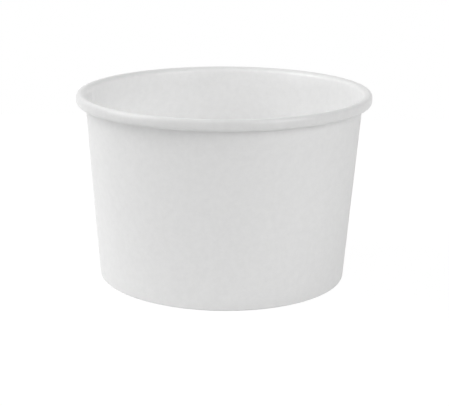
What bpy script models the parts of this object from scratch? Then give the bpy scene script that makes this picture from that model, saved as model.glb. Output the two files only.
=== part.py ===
"""Paper sundae cup in metres, +Z up, standing on its foot with the origin at the foot's centre.

Two pieces of coated board make the cup. The side wall is one fan-shaped sheet wound into a cone
and glued along a lap seam. Its top edge is rolled outwards into a hollow curl, and its foot edge
is folded inwards and up as a hem. The bottom is a round sheet with a turned-down skirt, and the
skirt sits in the pocket between the wall and the hem.
"""

import math
from collections import namedtuple

import bmesh
import bpy
from mathutils import Vector

MM = 0.001

# The finished cup, measured over its outer faces
RIM_DIAMETER = 96.0 * MM
FOOT_DIAMETER = 81.4 * MM
HEIGHT = 61.4 * MM

# The rolled rim
CURL_WIDTH = 3.28 * MM
CURL_HEIGHT = 3.75 * MM
CURL_TUCK_GAP = 0.12 * MM

# The board and the lap seam of the side wall
WALL_BOARD = 0.35 * MM
LAP_WIDTH = 6.5 * MM
LAP_RISE_WIDTH = 3.0 * MM
CUT_EDGE_SLOPE = 0.12 * MM
SEAM_AZIMUTH = math.radians(170.0)

# The foot and the bottom
BOTTOM_BOARD = 0.35 * MM
BOTTOM_RISE = 6.5 * MM
BOTTOM_CORNER_RADIUS = 0.8 * MM
HEM_BELOW_BOTTOM = 1.2 * MM
FOLD_INNER_RADIUS = 0.18 * MM
SEAT_GAP = 0.3 * MM
SKIRT_END_GAP = 0.4 * MM

# How finely the round forms are divided
COLUMNS = 72
CURL_STEPS = 20
FOLD_STEPS = 3
BOTTOM_CORNER_STEPS = 4
LAP_RISE_STEPS = 3
MERGE_DISTANCE = 0.001 * MM

# Angles round the curl's own centre, from the outer tip: the roll narrows between the first two
TUCK_START = math.radians(-75.0)
TUCK_FULL = math.radians(-175.0)
CURL_END = math.radians(-225.0)

BOARD_COLOUR = (0.86, 0.86, 0.855, 1.0)
WALL_ROUGHNESS = 0.5
BOTTOM_ROUGHNESS = 0.55

# One point of the sheet's middle line in section. The shares say how much of the lap's extra
# thickness shows there, across and upwards.
SheetPoint = namedtuple("SheetPoint", "place across_share upward_share")

# One upright cut through the side wall: its azimuth, and how far the sheet's inner and outer
# faces lie from the middle line of a single layer.
Column = namedtuple("Column", "azimuth inner outer")


def smooth_step(share):
    """An even rise from 0 to 1 that starts and ends level."""
    share = min(max(share, 0.0), 1.0)
    return share * share * (3.0 - 2.0 * share)


def curl_centre():
    """Centre of the curl's section, as radius and height."""
    return Vector((RIM_DIAMETER - CURL_WIDTH, 2.0 * HEIGHT - CURL_HEIGHT)) / 2.0


def curl_half_sizes():
    """Half width and half height of the curl's middle line."""
    return (CURL_WIDTH - WALL_BOARD) / 2.0, (CURL_HEIGHT - WALL_BOARD) / 2.0


def wall_start_radius():
    """Radius of the wall's middle line, carried on down to the height of the foot."""
    return (FOOT_DIAMETER - WALL_BOARD) / 2.0


def wall_slope():
    """Outward run of the wall for each unit of rise, so that it runs tangent into the curl."""
    centre = curl_centre()
    half_width, half_height = curl_half_sizes()
    reach = centre.x - wall_start_radius()
    square = centre.y**2 - half_height**2
    root = math.sqrt((reach * centre.y) ** 2 - square * (reach**2 - half_width**2))
    return (reach * centre.y - root) / square


def radius_beside_wall(height, inset):
    """Radius of a line parallel to the wall's middle line and set inwards from it."""
    slope = wall_slope()
    return wall_start_radius() + height * slope - inset * math.hypot(1.0, slope)


def hem_inset():
    """Distance between the middle lines of the wall and of the hem, which holds the skirt."""
    return WALL_BOARD + BOTTOM_BOARD + 2.0 * SEAT_GAP


def hem_top():
    return BOTTOM_RISE - HEM_BELOW_BOTTOM


def arc(centre, radius, start, end, steps):
    """Points of a round stretch, from one angle to another."""
    for step in range(steps + 1):
        angle = start + (end - start) * step / steps
        yield centre + radius * Vector((math.cos(angle), math.sin(angle)))


def curl_path():
    """The rolled edge, from its tucked end round to the top of the wall."""
    centre = curl_centre()
    half_width, half_height = curl_half_sizes()
    full_tuck_share = (2.0 * WALL_BOARD + CURL_TUCK_GAP) / half_width
    start = math.pi - math.atan(wall_slope() * half_height / half_width)
    for step in range(CURL_STEPS + 1):
        angle = CURL_END + (start - CURL_END) * step / CURL_STEPS
        tuck = smooth_step((TUCK_START - angle) / (TUCK_START - TUCK_FULL))
        size_share = 1.0 - full_tuck_share * tuck
        offset = Vector((half_width * math.cos(angle), half_height * math.sin(angle)))
        yield SheetPoint(centre + size_share * offset, 1.0 - tuck, 1.0 - tuck)


def foot_path():
    """The fold under the foot and the hem, from the bottom of the wall to the hem's edge."""
    tilt = math.atan(wall_slope())
    radius = FOLD_INNER_RADIUS + WALL_BOARD / 2.0
    height = radius + WALL_BOARD / 2.0
    outer = Vector((radius_beside_wall(height, radius), height))
    inner = Vector((radius_beside_wall(height, hem_inset() - radius), height))
    hem_edge = Vector((radius_beside_wall(hem_top(), hem_inset()), hem_top()))
    quarter = math.pi / 2.0
    places = [
        *arc(outer, radius, -tilt, -quarter, FOLD_STEPS),
        *arc(inner, radius, -quarter, -2.0 * quarter - tilt, FOLD_STEPS),
        hem_edge,
    ]
    # The lap is pressed level under the foot, so its extra thickness lies only across.
    return [SheetPoint(place, 1.0, 0.0) for place in places]


def sheet_normals(path):
    """Directions to the sheet's outer face, mitred so that each stretch keeps its thickness."""
    places = [point.place for point in path]
    across = [Vector((a.y - b.y, b.x - a.x)).normalized() for a, b in zip(places, places[1:])]
    before = [across[0], *across]
    after = [*across, across[-1]]
    return [(a + b) / (1.0 + a.dot(b)) for a, b in zip(before, after)]


def wall_columns():
    """Every upright cut of the wall, in order round the cup from the sheet's inner cut edge."""
    seam_radius = (RIM_DIAMETER + FOOT_DIAMETER) / 4.0
    lap = LAP_WIDTH / seam_radius
    rise = LAP_RISE_WIDTH / seam_radius
    edge = CUT_EDGE_SLOPE / seam_radius
    half = WALL_BOARD / 2.0
    turn = 2.0 * math.pi
    pitch = turn / COLUMNS
    columns = [
        Column(edge, -half, half + WALL_BOARD),
        Column(lap / 2.0, -half, half + WALL_BOARD),
        Column(lap, -half, half + WALL_BOARD),
    ]
    single = lap + edge
    count = max(round((turn - rise - single) / pitch), 1)
    for step in range(count + 1):
        azimuth = single + (turn - rise - single) * step / count
        columns.append(Column(azimuth, -half, half))
    for step in range(1, LAP_RISE_STEPS + 1):
        share = step / LAP_RISE_STEPS
        lift = WALL_BOARD * smooth_step(share)
        columns.append(Column(turn - rise * (1.0 - share), lift - half, lift + half))
    return columns


def face_point(point, normal, offset, lap_offset, direction):
    """A point on one face of the sheet, in the upright cut that looks in this direction."""
    lap = Vector((normal.x * point.across_share, normal.y * point.upward_share))
    flat = point.place + normal * offset + lap * lap_offset
    return (flat.x * direction.x, flat.x * direction.y, flat.y)


def wall_section(bm, path, normals, column):
    """The closed outline of the sheet in one upright cut: its inner face, then its outer face."""
    azimuth = SEAM_AZIMUTH + column.azimuth
    direction = Vector((math.cos(azimuth), math.sin(azimuth)))
    half = WALL_BOARD / 2.0
    inner = [
        face_point(point, normal, -half, column.inner + half, direction)
        for point, normal in zip(path, normals)
    ]
    outer = [
        face_point(point, normal, half, column.outer - half, direction)
        for point, normal in zip(path, normals)
    ]
    return [bm.verts.new(place) for place in [*inner, *reversed(outer)]]


def loft_closed(bm, sections):
    """Faces between each section and the next, and from the last one back to the first."""
    for this, following in zip(sections, [*sections[1:], sections[0]]):
        for index, corner in enumerate(this):
            bm.faces.new((corner, this[index - 1], following[index - 1], following[index]))


def build_side_wall():
    path = [*curl_path(), *foot_path()]
    normals = sheet_normals(path)
    bm = bmesh.new()
    loft_closed(bm, [wall_section(bm, path, normals, column) for column in wall_columns()])
    return bm


def bottom_path():
    """Middle line of the bottom, from the cup's axis out and down to the skirt's edge."""
    tilt = math.atan(wall_slope())
    inset = (WALL_BOARD + BOTTOM_BOARD) / 2.0 + SEAT_GAP
    radius = BOTTOM_CORNER_RADIUS + BOTTOM_BOARD / 2.0
    level = BOTTOM_RISE + BOTTOM_BOARD / 2.0
    height = level - radius
    corner = Vector((radius_beside_wall(height, inset + radius), height))
    skirt_end = WALL_BOARD + SKIRT_END_GAP
    return [
        Vector((0.0, level)),
        *arc(corner, radius, math.pi / 2.0, -tilt, BOTTOM_CORNER_STEPS),
        Vector((radius_beside_wall(skirt_end, inset), skirt_end)),
    ]


def build_bottom():
    path = [SheetPoint(place, 0.0, 0.0) for place in bottom_path()]
    half = BOTTOM_BOARD / 2.0
    normals = sheet_normals(path)
    upper = [point.place + half * normal for point, normal in zip(path, normals)]
    under = [point.place - half * normal for point, normal in zip(path, normals)]
    bm = bmesh.new()
    corners = [bm.verts.new((place.x, 0.0, place.y)) for place in [*upper, *reversed(under)]]
    outline = [bm.edges.new(pair) for pair in zip(corners, corners[1:])]
    bmesh.ops.spin(
        bm,
        geom=[*corners, *outline],
        cent=(0.0, 0.0, 0.0),
        axis=(0.0, 0.0, 1.0),
        angle=2.0 * math.pi,
        steps=COLUMNS,
        use_merge=True,
    )
    bmesh.ops.remove_doubles(bm, verts=bm.verts, dist=MERGE_DISTANCE)
    return bm


def board_material(name, roughness):
    material = bpy.data.materials.new(name)
    material.use_nodes = True
    surface = material.node_tree.nodes["Principled BSDF"]
    surface.inputs["Base Color"].default_value = BOARD_COLOUR
    surface.inputs["Roughness"].default_value = roughness
    surface.inputs["Metallic"].default_value = 0.0
    return material


def add_piece(name, bm, material):
    bmesh.ops.recalc_face_normals(bm, faces=bm.faces)
    mesh = bpy.data.meshes.new(name)
    bm.to_mesh(mesh)
    bm.free()
    mesh.shade_smooth()
    mesh.set_sharp_from_angle(angle=math.radians(40.0))
    mesh.materials.append(material)
    piece = bpy.data.objects.new(name, mesh)
    bpy.context.scene.collection.objects.link(piece)
    return piece


def clear_scene():
    for piece in list(bpy.data.objects):
        bpy.data.objects.remove(piece, do_unlink=True)


clear_scene()
add_piece("side_wall", build_side_wall(), board_material("coated board", WALL_ROUGHNESS))
add_piece("bottom_disc", build_bottom(), board_material("bottom board", BOTTOM_ROUGHNESS))
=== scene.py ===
"""A plain white paper sundae cup on a sheet of white paper: how its two pieces look, in metres."""

import math
from collections import namedtuple

import bpy
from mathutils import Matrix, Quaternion, Vector


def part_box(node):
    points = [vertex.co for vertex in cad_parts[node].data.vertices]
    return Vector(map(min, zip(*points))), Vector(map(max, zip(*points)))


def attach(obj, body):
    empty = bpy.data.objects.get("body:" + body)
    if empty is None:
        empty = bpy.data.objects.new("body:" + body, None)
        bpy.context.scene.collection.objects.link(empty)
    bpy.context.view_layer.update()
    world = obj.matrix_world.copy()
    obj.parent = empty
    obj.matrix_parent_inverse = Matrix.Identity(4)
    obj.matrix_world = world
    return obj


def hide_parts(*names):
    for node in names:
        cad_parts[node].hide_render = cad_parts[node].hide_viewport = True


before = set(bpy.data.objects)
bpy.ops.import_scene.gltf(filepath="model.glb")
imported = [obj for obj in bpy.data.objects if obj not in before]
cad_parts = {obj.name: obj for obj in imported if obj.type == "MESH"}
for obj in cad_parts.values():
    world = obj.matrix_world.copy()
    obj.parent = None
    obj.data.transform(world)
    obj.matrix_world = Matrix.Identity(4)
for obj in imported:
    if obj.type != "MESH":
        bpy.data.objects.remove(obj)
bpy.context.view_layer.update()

# Side wall, with its rolled rim, lap seam and hem.
# One fan-shaped sheet of white cupboard, coated on its inner face, is wound round a cone and
# glued along a lap. Its top edge is rolled outwards into a hollow curl, and its foot edge is
# turned in and up over the bottom's skirt and pressed there with a toothed roller.
mm = 0.001
wall_low, wall_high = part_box("side_wall")
rim_radius = max(wall_high.x, wall_high.y, -wall_low.x, -wall_low.y)
cup_height = wall_high.z
foot_radius = 40.7 * mm
board = 0.35 * mm
curl_width = 3.24 * mm
curl_shoulder = 1.6 * mm
curl_face = 1.95 * mm
face_fullness = 4.0
crest_outward = 0.4 * mm
curl_end = math.radians(-225.0)
curl_steps = 42
tuck_start = math.radians(-75.0)
tuck_full = math.radians(-175.0)
tuck_gap = 0.12 * mm
wall_rows = 16
fold_inner_radius = 0.18 * mm
fold_steps = 5
glue_gap = 0.03 * mm
hem_top = 5.3 * mm
crimp_low = 1.1 * mm
crimp_high = 4.6 * mm
crimp_fade = 0.3 * mm
lap_width = 6.5 * mm
rise_width = 3.0 * mm
cut_edge_width = 0.1 * mm
seam_radius = (rim_radius + foot_radius) / 2.0
wall_sizes = {
    "Columns": 600,
    "Board": board,
    "Lap angle": lap_width / seam_radius,
    "Rise angle": rise_width / seam_radius,
    "Cut edge angle": cut_edge_width / seam_radius,
    "Seam azimuth": math.radians(170.0),
    "Crimps": 150,
    "Crimp depth": 0.18 * mm,
    "Rim out of level": 0.6 * mm,
}

full_turn = 2.0 * math.pi
quarter = math.pi / 2.0
curl_centre = Vector((rim_radius - curl_width / 2.0, cup_height - curl_shoulder))
curl_half_width = (curl_width - board) / 2.0
flare_width = curl_half_width + 2.0 * crest_outward
curl_rise = curl_shoulder - board / 2.0
curl_drop = curl_face - board / 2.0
wall_start = foot_radius - board / 2.0


def tangent_slope():
    """Outward run of the wall for each unit of rise, where it runs tangent into the flare."""
    reach = curl_centre.x - curl_half_width + flare_width - wall_start
    square = curl_centre.y**2 - curl_rise**2
    root = math.sqrt((reach * curl_centre.y) ** 2 - square * (reach**2 - flare_width**2))
    return (reach * curl_centre.y - root) / square


slope = tangent_slope()
tilt = math.atan(slope)


def beside_wall(height, inset):
    """Radius and height of a point set inwards from the middle of the wall's board."""
    return Vector((wall_start + height * slope - inset * math.hypot(1.0, slope), height))


def arc(centre, radius, start, end, steps):
    """Points along part of a circle, both ends included."""
    angles = [start + (end - start) * step / steps for step in range(steps + 1)]
    return [centre + radius * Vector((math.cos(angle), math.sin(angle))) for angle in angles]


def smooth_step(share):
    """A share that starts and ends gently, held between 0 and 1."""
    share = min(max(share, 0.0), 1.0)
    return share * share * (3.0 - 2.0 * share)


def curl_offset(angle):
    """From the curl's centre to its middle line: a flare, a crest and a face pressed flat."""
    outward, upward = math.cos(angle), math.sin(angle)
    if upward > 0.0:
        width = curl_half_width * outward + crest_outward * upward**2
        return Vector((width, curl_rise * upward))
    power = 2.0 / face_fullness if outward > 0.0 else 1.0
    width = curl_half_width * math.copysign(abs(outward) ** power, outward)
    return Vector((width, -curl_drop * abs(upward) ** power))


def curl_points():
    """The curl's points from its tucked end to the wall's top, each with its share of the lap."""
    start = math.pi - math.atan(slope * curl_rise / flare_width)
    tuck_share = (2.0 * board + tuck_gap) / curl_half_width
    for step in range(curl_steps + 1):
        angle = curl_end + (start - curl_end) * step / curl_steps
        tuck = smooth_step((tuck_start - angle) / (tuck_start - tuck_full))
        yield curl_centre + (1.0 - tuck_share * tuck) * curl_offset(angle), 1.0 - tuck


def mitred_normals(places):
    """Directions across the sheet, so that each stretch of it keeps its thickness."""
    across = [Vector((a.y - b.y, b.x - a.x)).normalized() for a, b in zip(places, places[1:])]
    pairs = zip([across[0], *across], [*across, across[-1]])
    return [(a + b) / (1.0 + a.dot(b)) for a, b in pairs]


def section_mesh(name, places, thickness, marks):
    """Points along one face of the sheet and back along the other, with what each carries."""
    rows = list(zip(places, mitred_normals(places), *marks.values()))
    outline = [(-1.0, *row) for row in rows] + [(1.0, *row) for row in reversed(rows)]
    corners = [place + normal * side * thickness / 2.0 for side, place, normal, *_ in outline]
    mesh = bpy.data.meshes.new(name)
    mesh.from_pydata([(corner.x, 0.0, corner.y) for corner in corners], [], [])
    carried = {
        "side": [point[0] for point in outline],
        "across": [point[2].x for point in outline],
        "upward": [point[2].y for point in outline],
    }
    for index, label in enumerate(marks, start=3):
        carried[label] = [point[index] for point in outline]
    for label, values in carried.items():
        mesh.attributes.new(label, "FLOAT", "POINT").data.foreach_set("value", values)
    return mesh


fold_radius = fold_inner_radius + board / 2.0
fold_height = fold_radius + board / 2.0
hem_inset = 2.0 * board + 2.0 * glue_gap
curl = list(curl_points())
wall_foot = arc(beside_wall(fold_height, fold_radius), fold_radius, -tilt, -quarter, fold_steps)
wall_line = [curl[-1][0].lerp(wall_foot[0], row / wall_rows) for row in range(1, wall_rows)]
hem_centre = beside_wall(fold_height, hem_inset - fold_radius)
hem_fold = arc(hem_centre, fold_radius, -quarter, -math.pi - tilt, fold_steps)
hem_marks = {
    crimp_low: 0.0,
    crimp_low + crimp_fade: 1.0,
    crimp_high - crimp_fade: 1.0,
    crimp_high: 0.0,
    hem_top: 0.0,
}
hem_line = [beside_wall(height, hem_inset) for height in hem_marks]
sheet = [place for place, _ in curl] + wall_line + wall_foot + hem_fold + hem_line
curl_laps = [share for _, share in curl]
below_curl = len(sheet) - len(curl)
foot_points = below_curl - len(wall_line)

# More light comes through the single board than through the curl, so the inside gets a painted
# glow, lighter than the board's own
# white: none near the crest, a part at the curl's end, and all of it down the wall.
lit_part = 0.6
lit_steps = 6
lit_rows = 6


def inside_glow_share(step):
    """How much painted glow a point of the inside has, counted from the curl's last point."""
    if step <= 0:
        return lit_part * smooth_step(step / lit_steps + 1.0)
    return lit_part + (1.0 - lit_part) * smooth_step(step / lit_rows)


wall_section = section_mesh(
    "wall_section",
    sheet,
    board,
    {
        "lap_across": curl_laps + [1.0] * below_curl,
        "lap_upward": curl_laps + [1.0] * len(wall_line) + [0.0] * foot_points,
        "inside": [inside_glow_share(step) for step in range(1 - len(curl), below_curl + 1)],
        "crimp": [0.0] * (len(sheet) - len(hem_line)) + list(hem_marks.values()),
        "sheet_end": [1.0] + [0.0] * (len(sheet) - 2) + [1.0],
    },
)

Wound = namedtuple("Wound", "mesh azimuth pitch radius height carried")


def new_tree(name, inputs):
    """A Geometry Nodes tree that takes a section and these named sizes, and gives a piece."""
    tree = bpy.data.node_groups.new(name, "GeometryNodeTree")
    tree.interface.new_socket("Section", in_out="INPUT", socket_type="NodeSocketGeometry")
    tree.interface.new_socket("Piece", in_out="OUTPUT", socket_type="NodeSocketGeometry")
    for label, value in inputs.items():
        kind = "NodeSocketInt" if isinstance(value, int) else "NodeSocketFloat"
        tree.interface.new_socket(label, in_out="INPUT", socket_type=kind)
    return tree


def add_node(tree, kind, values=(), **settings):
    """A node with its settings, and its inputs in order, each a value or another node's output."""
    node = tree.nodes.new(kind)
    for name, value in settings.items():
        setattr(node, name, value)
    for socket, value in zip([socket for socket in node.inputs if socket.enabled], values):
        if isinstance(value, bpy.types.NodeSocket):
            tree.links.new(value, socket)
        else:
            socket.default_value = value
    return node


def calculator(tree):
    """Adds maths nodes to a tree, so that a formula reads as calls."""

    def calc(operation, *values):
        return add_node(tree, "ShaderNodeMath", values, operation=operation).outputs[0]

    return calc


def wind(tree, section, columns, first_column, closing_rows):
    """A grid with a row for each point of the section and a column for each step round the cup.

    The first column stands that many steps past azimuth 0. A closed section needs one closing
    row, which repeats its first point.
    """
    calc = calculator(tree)
    points = add_node(tree, "GeometryNodeAttributeDomainSize", (section,)).outputs["Point Count"]
    steps = calc("ADD", columns, 1.0)
    rows = calc("ADD", points, closing_rows)
    grid = add_node(tree, "GeometryNodeMeshGrid", (1.0, 1.0, rows, steps))
    index = add_node(tree, "GeometryNodeInputIndex").outputs[0]
    row = calc("FLOOR", calc("DIVIDE", calc("ADD", index, 0.5), steps))
    column = calc("ROUND", calc("SUBTRACT", index, calc("MULTIPLY", row, steps)))
    corner = calc("FLOORED_MODULO", row, points)
    pitch = calc("DIVIDE", full_turn, columns)
    step = calc("ADD", calc("FLOORED_MODULO", column, columns), first_column)
    azimuth = calc("MULTIPLY", step, pitch)

    def sample(value, kind):
        node = add_node(tree, "GeometryNodeSampleIndex", (section, value), data_type=kind)
        tree.links.new(corner, node.inputs["Index"])
        return node.outputs[0]

    def carried(label):
        named = add_node(tree, "GeometryNodeInputNamedAttribute", (label,), data_type="FLOAT")
        return sample(named.outputs["Attribute"], "FLOAT")

    position = add_node(tree, "GeometryNodeInputPosition").outputs[0]
    place = add_node(tree, "ShaderNodeSeparateXYZ", (sample(position, "FLOAT_VECTOR"),)).outputs
    return Wound(grid.outputs["Mesh"], azimuth, pitch, place["X"], place["Z"], carried)


def round_cup(calc, azimuth, radius):
    """How far right and how far back a point lies at this azimuth and radius."""
    rightward = calc("MULTIPLY", radius, calc("COSINE", azimuth))
    backward = calc("MULTIPLY", radius, calc("SINE", azimuth))
    return rightward, backward


def store(tree, mesh, label, value, domain):
    """The mesh with a named number kept on each of its points or faces."""
    node = add_node(tree, "GeometryNodeStoreNamedAttribute", data_type="FLOAT", domain=domain)
    tree.links.new(mesh, node.inputs["Geometry"])
    node.inputs["Name"].default_value = label
    tree.links.new(value, node.inputs["Value"])
    return node.outputs[0]


def finish_tree(tree, mesh, marks, place, material):
    """Keeps the marks, puts every point in its place, closes the grid and gives it its material."""
    all_corners = 0.9
    weld_distance = 0.002 * mm
    for label, value in marks.items():
        mesh = store(tree, mesh, label, value, "POINT")

    # A face is cut board only where all of its corners are.
    corners = add_node(tree, "GeometryNodeInputNamedAttribute", ("cut_edge",), data_type="FLOAT")
    whole_face = calculator(tree)("GREATER_THAN", corners.outputs["Attribute"], all_corners)
    mesh = store(tree, mesh, "cut_edge", whole_face, "FACE")
    placed = add_node(tree, "GeometryNodeSetPosition", (mesh,))
    tree.links.new(place, placed.inputs["Position"])
    outward = add_node(tree, "GeometryNodeFlipFaces", (placed.outputs[0],))
    closed = add_node(tree, "GeometryNodeMergeByDistance", (outward.outputs[0],))
    closed.inputs["Distance"].default_value = weld_distance
    real = add_node(tree, "GeometryNodeRealizeInstances", (closed.outputs[0],))
    coloured = add_node(tree, "GeometryNodeSetMaterial", (real.outputs[0],))
    coloured.inputs["Material"].default_value = material
    add_node(tree, "NodeGroupOutput", (coloured.outputs[0],))


def make_piece(name, section, tree, sizes):
    """Runs the tree on the section and keeps what comes out as a plain mesh."""
    sharp_angle = math.radians(35.0)
    source = bpy.data.objects.new(name + "_source", section)
    bpy.context.scene.collection.objects.link(source)
    modifier = source.modifiers.new("Wind", "NODES")
    modifier.node_group = tree
    for item in tree.interface.items_tree:
        if item.name in sizes:
            modifier[item.identifier] = sizes[item.name]
    bpy.context.view_layer.update()
    graph = bpy.context.evaluated_depsgraph_get()
    mesh = bpy.data.meshes.new_from_object(source.evaluated_get(graph), depsgraph=graph)
    source.modifiers.remove(modifier)
    bpy.data.objects.remove(source)
    mesh.name = name
    mesh.shade_smooth()
    mesh.set_sharp_from_angle(angle=sharp_angle)
    piece = bpy.data.objects.new(name, mesh)
    bpy.context.scene.collection.objects.link(piece)
    return piece


outside_white = (0.77, 0.77, 0.768, 1.0)
# The inside's white is a painted glow, lighter than the board, standing in for light through it.
inside_glow_white = (0.96, 0.96, 0.958, 1.0)
# The rim's white is painted shade: the same coated film as the inside, made darker on the curl.
shaded_rim_white = (0.713, 0.713, 0.711, 1.0)
raw_edge_white = (0.74, 0.725, 0.69, 1.0)
unshaded = (1.0, 1.0, 1.0, 1.0)
cloud_shade = (0.964, 0.964, 0.964, 1.0)
cloud_scale = 480.0
fibre_scale = 1700.0
finer_octaves = 2.0
octave_strength = 0.7
cloud_part = 0.8
fibre_part = 0.2
mottle_range = (0.35, 0.65)
matt_roughness = 0.65
coated_roughness = 0.285
roughness_wander = 0.03
wander_range = (0.3, 0.7)
bare_fibre_relief = 0.5
coated_fibre_relief = 0.03
relief_strength = 0.6
relief_depth = 0.015 * mm


def board_material(name):
    """White cupboard: matt fibres outside, a satin film inside, bare fibres where cut, painted glow
    inside, painted shade on the rim.
    """
    material = bpy.data.materials.new(name)
    material.use_nodes = True
    tree = material.node_tree
    calc = calculator(tree)
    surface = tree.nodes["Principled BSDF"]
    place = add_node(tree, "ShaderNodeTexCoord").outputs["Object"]

    def mark(label):
        return add_node(tree, "ShaderNodeAttribute", attribute_name=label).outputs["Fac"]

    def noise(scale):
        values = (place, scale, finer_octaves, octave_strength)
        return add_node(tree, "ShaderNodeTexNoise", values).outputs["Fac"]

    def ramp(value, low, high, from_low=0.0, from_high=1.0):
        node = add_node(tree, "ShaderNodeMapRange", (value, from_low, from_high, low, high))
        return node.outputs["Result"]

    def mix(share, first, second, blend="MIX"):
        values = (share, first, second)
        node = add_node(tree, "ShaderNodeMix", values, data_type="RGBA", blend_type=blend)
        return next(socket for socket in node.outputs if socket.enabled)

    # The pulp lies in soft clouds, which show everywhere. The film evens out the finer fibres.
    coated = mark("coated")
    clouds = noise(cloud_scale)
    fibres = noise(fibre_scale)
    cloud_mottle = calc("MULTIPLY", clouds, cloud_part)
    mottle = calc("ADD", cloud_mottle, calc("MULTIPLY", fibres, fibre_part))
    shade = mix(ramp(mottle, 0.0, 1.0, *mottle_range), cloud_shade, unshaded)
    # The coated face is painted darker on the curl as painted shade, and lighter down the inside as
    # a painted glow.
    white = mix(mark("inside"), mix(coated, outside_white, shaded_rim_white), inside_glow_white)
    colour = mix(1.0, white, shade, "MULTIPLY")
    tree.links.new(mix(mark("cut_edge"), colour, raw_edge_white), surface.inputs["Base Color"])

    # The film's roughness wanders upwards only, because the denoiser leaves specks below 0.274.
    rough = ramp(coated, matt_roughness, coated_roughness)
    wander = ramp(clouds, 0.0, roughness_wander, *wander_range)
    tree.links.new(calc("ADD", rough, wander), surface.inputs["Roughness"])
    fibre_relief = calc("MULTIPLY", fibres, ramp(coated, bare_fibre_relief, coated_fibre_relief))
    bump = add_node(tree, "ShaderNodeBump")
    bump.inputs["Strength"].default_value = relief_strength
    bump.inputs["Distance"].default_value = relief_depth
    tree.links.new(calc("ADD", fibre_relief, clouds), bump.inputs["Height"])
    tree.links.new(bump.outputs["Normal"], surface.inputs["Normal"])
    return material


wall_tree = new_tree("Wound sheet", wall_sizes)
calc = calculator(wall_tree)
size = add_node(wall_tree, "NodeGroupInput").outputs
wound = wind(wall_tree, size["Section"], size["Columns"], first_column=0.5, closing_rows=1.0)
outer_face = calc("GREATER_THAN", wound.carried("side"), 0.0)
coated_face = calc("SUBTRACT", 1.0, outer_face)


def beside_cut(azimuth, cut):
    """How far a point lies past a cut edge, and whether it is in one of the two columns there."""
    columns_reached = 0.75
    past = calc("WRAP", calc("SUBTRACT", azimuth, cut), math.pi, -math.pi)
    reach = calc("MULTIPLY", wound.pitch, columns_reached)
    return past, calc("LESS_THAN", calc("ABSOLUTE", past), reach)


# The columns on either side of a cut edge are drawn up to it, so that the edge stands square.
lap_columns = calc("ROUND", calc("DIVIDE", size["Lap angle"], wound.pitch))
lap_end = calc("MULTIPLY", lap_columns, wound.pitch)
draw = calc("SUBTRACT", calc("DIVIDE", size["Cut edge angle"], wound.pitch), 1.0)
azimuth = wound.azimuth
inner_past, at_inner_cut = beside_cut(azimuth, 0.0)
outer_past, at_outer_cut = beside_cut(azimuth, lap_end)
for past, near in ((inner_past, at_inner_cut), (outer_past, at_outer_cut)):
    azimuth = calc("ADD", azimuth, calc("MULTIPLY", calc("MULTIPLY", past, near), draw))

# Over the lap the outer face lies a second board's thickness out. Before it the sheet rises.
rise_start = calc("SUBTRACT", full_turn, size["Rise angle"])
rise = add_node(
    wall_tree,
    "ShaderNodeMapRange",
    (azimuth, rise_start, full_turn),
    interpolation_type="SMOOTHSTEP",
)
risen = rise.outputs["Result"]
doubled = calc("MULTIPLY", calc("LESS_THAN", azimuth, lap_end), outer_face)
lift = calc("MULTIPLY", calc("MAXIMUM", risen, doubled), size["Board"])
lap_across = calc("MULTIPLY", wound.carried("across"), wound.carried("lap_across"))
lap_upward = calc("MULTIPLY", wound.carried("upward"), wound.carried("lap_upward"))
lift_across = calc("MULTIPLY", lift, lap_across)
lift_upward = calc("MULTIPLY", lift, lap_upward)

# The roller's teeth press upright grooves into the hem's open face.
teeth = calc("SUBTRACT", 1.0, calc("COSINE", calc("MULTIPLY", azimuth, size["Crimps"])))
toothed = calc("MULTIPLY", outer_face, wound.carried("crimp"))
tooth_depth = calc("MULTIPLY", toothed, size["Crimp depth"])
dent = calc("MULTIPLY", calc("MULTIPLY", teeth, 0.5), tooth_depth)

# The rim stands a little out of level, as on a real cup, and the foot is flat.
radius = calc("ADD", calc("ADD", wound.radius, lift_across), dent)
height = calc("ADD", wound.height, lift_upward)
turned = calc("ADD", azimuth, size["Seam azimuth"])
rightward, backward = round_cup(calc, turned, radius)
slant = calc("DIVIDE", size["Rim out of level"], rim_radius * cup_height)
height = calc("ADD", height, calc("MULTIPLY", calc("MULTIPLY", rightward, height), slant))
place = add_node(wall_tree, "ShaderNodeCombineXYZ", (rightward, backward, height)).outputs[0]

inner_cut = calc("MULTIPLY", at_inner_cut, coated_face)
outer_cut = calc("MULTIPLY", at_outer_cut, outer_face)
# The inside mark carries each coated point's share of the painted glow.
wall_marks = {
    "coated": coated_face,
    "inside": calc("MULTIPLY", coated_face, wound.carried("inside")),
    "cut_edge": calc("MAXIMUM", calc("ADD", inner_cut, outer_cut), wound.carried("sheet_end")),
}
finish_tree(wall_tree, wound.mesh, wall_marks, place, board_material("wall cupboard"))
side_wall = make_piece("wound_wall", wall_section, wall_tree, wall_sizes)
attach(side_wall, "root")
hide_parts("side_wall")

# Bottom.
# A round sheet of the same cupboard, coated on top, with its edge drawn down over a former as
# a skirt. It is pushed in from below and glued between the wall and the hem.
bottom_low, bottom_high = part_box("bottom_disc")
bottom_sizes = {"Columns": 240}
corner_inner_radius = 0.8 * mm
corner_steps = 8
bottom_sag = 0.25 * mm
sag_power = 4
disc_rings = 14
corner_radius = corner_inner_radius + board / 2.0
bottom_inset = board + glue_gap
bottom_level = bottom_high.z - board / 2.0
corner = beside_wall(bottom_level - corner_radius, bottom_inset + corner_radius)
disc = []
for ring in range(disc_rings):
    share = ring / disc_rings
    disc.append(Vector((corner.x * share, bottom_level - bottom_sag * (1.0 - share**sag_power))))
skirt = arc(corner, corner_radius, quarter, -tilt, corner_steps)
skirt.append(beside_wall(bottom_low.z, bottom_inset))
bottom_ends = [0.0] * (len(disc) + len(skirt) - 1) + [1.0]
bottom_section = section_mesh("bottom_section", disc + skirt, board, {"sheet_end": bottom_ends})

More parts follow.
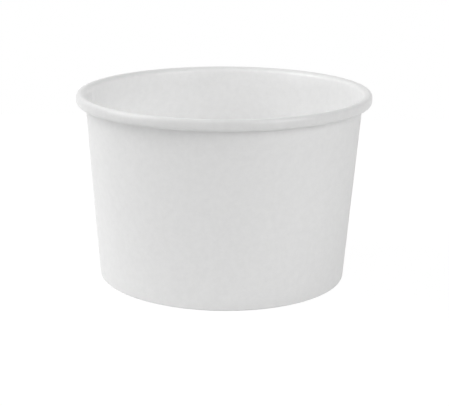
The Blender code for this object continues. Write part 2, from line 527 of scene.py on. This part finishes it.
bottom_tree = new_tree("Drawn bottom", bottom_sizes)
calc = calculator(bottom_tree)
size = add_node(bottom_tree, "NodeGroupInput").outputs
wound = wind(bottom_tree, size["Section"], size["Columns"], first_column=0.0, closing_rows=0.0)
top_face = calc("GREATER_THAN", wound.carried("side"), 0.0)
spot = (*round_cup(calc, wound.azimuth, wound.radius), wound.height)
place = add_node(bottom_tree, "ShaderNodeCombineXYZ", spot).outputs[0]
# The bottom's coated top gets all of the inside's painted glow.
bottom_marks = {"coated": top_face, "inside": top_face, "cut_edge": wound.carried("sheet_end")}
finish_tree(bottom_tree, wound.mesh, bottom_marks, place, board_material("bottom cupboard"))
bottom = make_piece("drawn_bottom", bottom_section, bottom_tree, bottom_sizes)
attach(bottom, "root")
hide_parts("bottom_disc")

# Floor.
# A half-metre sheet of plain white paper under the cup. It throws light back on the wall, and
# most on the wall's foot.
paper_width = 0.5
paper_white = (0.86, 0.86, 0.86, 1.0)
paper_roughness = 0.9
glow_strength = 1.05
glow_share = 0.9
bpy.ops.mesh.primitive_plane_add(size=paper_width)
floor = bpy.context.object
floor.name = "floor"
paper = bpy.data.materials.new("white backdrop")
paper.use_nodes = True
tree = paper.node_tree
calc = calculator(tree)
paper_surface = tree.nodes["Principled BSDF"]
paper_surface.inputs["Base Color"].default_value = paper_white
paper_surface.inputs["Roughness"].default_value = paper_roughness


def background_rays(tree):
    """Whether a ray looks at the background: the camera's, or one mirrored in the object."""
    calc = calculator(tree)
    rays = add_node(tree, "ShaderNodeLightPath").outputs
    mirrored = calc("MAXIMUM", rays["Is Glossy Ray"], rays["Is Transmission Ray"])
    return calc("MAXIMUM", rays["Is Camera Ray"], mirrored)


glow = add_node(tree, "ShaderNodeEmission")
glow.inputs["Strength"].default_value = glow_strength
blend = add_node(tree, "ShaderNodeMixShader")
tree.links.new(calc("MULTIPLY", background_rays(tree), glow_share), blend.inputs["Fac"])
tree.links.new(paper_surface.outputs[0], blend.inputs[1])
tree.links.new(glow.outputs[0], blend.inputs[2])
tree.links.new(blend.outputs[0], tree.nodes["Material Output"].inputs["Surface"])
floor.data.materials.append(paper)

# Light.
# Plain light all round, a broad soft light from the left and a weaker one from the front right,
# each with a fainter one low beside it, and two faint ones from above and from behind.
ambient = 0.31
lamp_distance = 0.8
lamp_width = 0.5
# Azimuth and elevation in degrees, and power in watts.
lamps = {
    "left_light": (-90.0, 42.0, 3.07),
    "right_light": (45.0, 27.0, 2.22),
    "low_left_light": (-75.0, 12.0, 1.36),
    "low_right_light": (45.0, 12.0, 0.63),
    "top_light": (0.0, 65.0, 0.4),
    "back_light": (-150.0, 42.0, 0.69),
}
world = bpy.data.worlds.new("studio")
bpy.context.scene.world = world
world.use_nodes = True
tree = world.node_tree
calc = calculator(tree)
sky = tree.nodes["Background"]
sky.inputs["Color"].default_value = (1.0, 1.0, 1.0, 1.0)
brighter = calc("MULTIPLY", background_rays(tree), 1.0 - ambient)
tree.links.new(calc("ADD", brighter, ambient), sky.inputs["Strength"])


def direction(azimuth, elevation):
    """Outwards from the cup. Azimuth 0 is the camera's side, and a quarter turn is the right."""
    level = math.cos(elevation)
    return Vector((math.sin(azimuth) * level, -math.cos(azimuth) * level, math.sin(elevation)))


for name, (azimuth, elevation, power) in lamps.items():
    lamp = bpy.data.lights.new(name, "AREA")
    lamp.size = lamp_width
    lamp.energy = power
    light = bpy.data.objects.new(name, lamp)
    bpy.context.scene.collection.objects.link(light)
    away = direction(math.radians(azimuth), math.radians(elevation))
    light.location = Vector((0.0, 0.0, cup_height / 2.0)) + away * lamp_distance
    light.rotation_mode = "QUATERNION"
    light.rotation_quaternion = away.to_track_quat("Z", "Y")

# Camera.
# It stands at the photograph's place, a little above the rim and turned slightly to one side,
# with a long lens.
picture_width = 449.0
focal_pixels = 1262.0
camera_elevation = math.radians(15.578)
camera_distance = 421.0 * mm
camera_aim = Vector((0.632, 0.0, 23.249)) * mm
camera_roll = math.radians(0.9)
lens = bpy.data.cameras.new("camera")
lens.sensor_width = 36.0
lens.lens = focal_pixels * lens.sensor_width / picture_width
camera = bpy.data.objects.new("camera", lens)
bpy.context.scene.collection.objects.link(camera)
away = direction(0.0, camera_elevation)
camera.location = camera_aim + away * camera_distance
camera.rotation_mode = "QUATERNION"
camera.rotation_quaternion = Quaternion(away, camera_roll) @ away.to_track_quat("Z", "Y")
bpy.context.scene.camera = camera
bpy.context.scene.view_settings.view_transform = "Standard"
